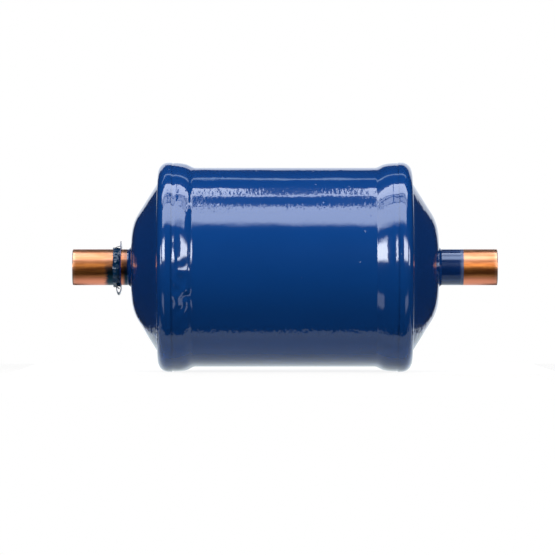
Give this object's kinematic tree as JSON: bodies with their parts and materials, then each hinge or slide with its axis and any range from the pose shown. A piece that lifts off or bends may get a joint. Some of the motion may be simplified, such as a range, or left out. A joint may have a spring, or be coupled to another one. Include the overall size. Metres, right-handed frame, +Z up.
{
  "type": "filter drier",
  "caption": "Sealed blue steel filter drier with pressed conical ends, seam-welded over a plain tube, and a copper solder socket at each end.",
  "frame": {"origin": "on the pipe axis, at the middle of the overall length", "axes": "+X along the pipe axis to the outlet, +Z up as it lies in a horizontal line, +Y by the right-hand rule"},
  "size_m": [0.1382, 0.0682, 0.0682],
  "materials": {
    "blue_enamel": "thick glossy blue enamel, sprayed, with orange peel and a few runs",
    "inlet_copper": "drawn copper, drawing lines, a dark stain of paint near the lifted film",
    "outlet_copper": "drawn copper, with a crisp-edged band of the blue enamel next to the shell",
    "loose_paint_film": "loose glossy paint film, wrinkled",
    "spring_steel": "bright spring wire",
    "plated_steel": "zinc-plated sheet",
    "felt": "pressed white felt",
    "gasket_fibre": "compressed fibre",
    "filter_fibre": "needled polyester",
    "screen_wire": "fine woven wire",
    "desiccant_block": "rough moulded block, beige"
  },
  "bodies": {
    "root": {"shell_tube": "blue_enamel", "inlet_end_cap": "blue_enamel", "outlet_end_cap": "blue_enamel", "inlet_seam_weld": "blue_enamel", "outlet_seam_weld": "blue_enamel", "inlet_connector": "inlet_copper", "outlet_connector": "outlet_copper", "inlet_braze_ring": "blue_enamel", "outlet_braze_ring": "blue_enamel", "lifted_paint_collar": "loose_paint_film", "core_spring": "spring_steel", "pressure_plate": "plated_steel", "outlet_plate": "plated_steel", "inlet_felt_pad": "felt", "core_gasket": "gasket_fibre", "outlet_filter_pad": "filter_fibre", "outlet_screen": "screen_wire", "desiccant_core": "desiccant_block"}
  },
  "joints": []
}
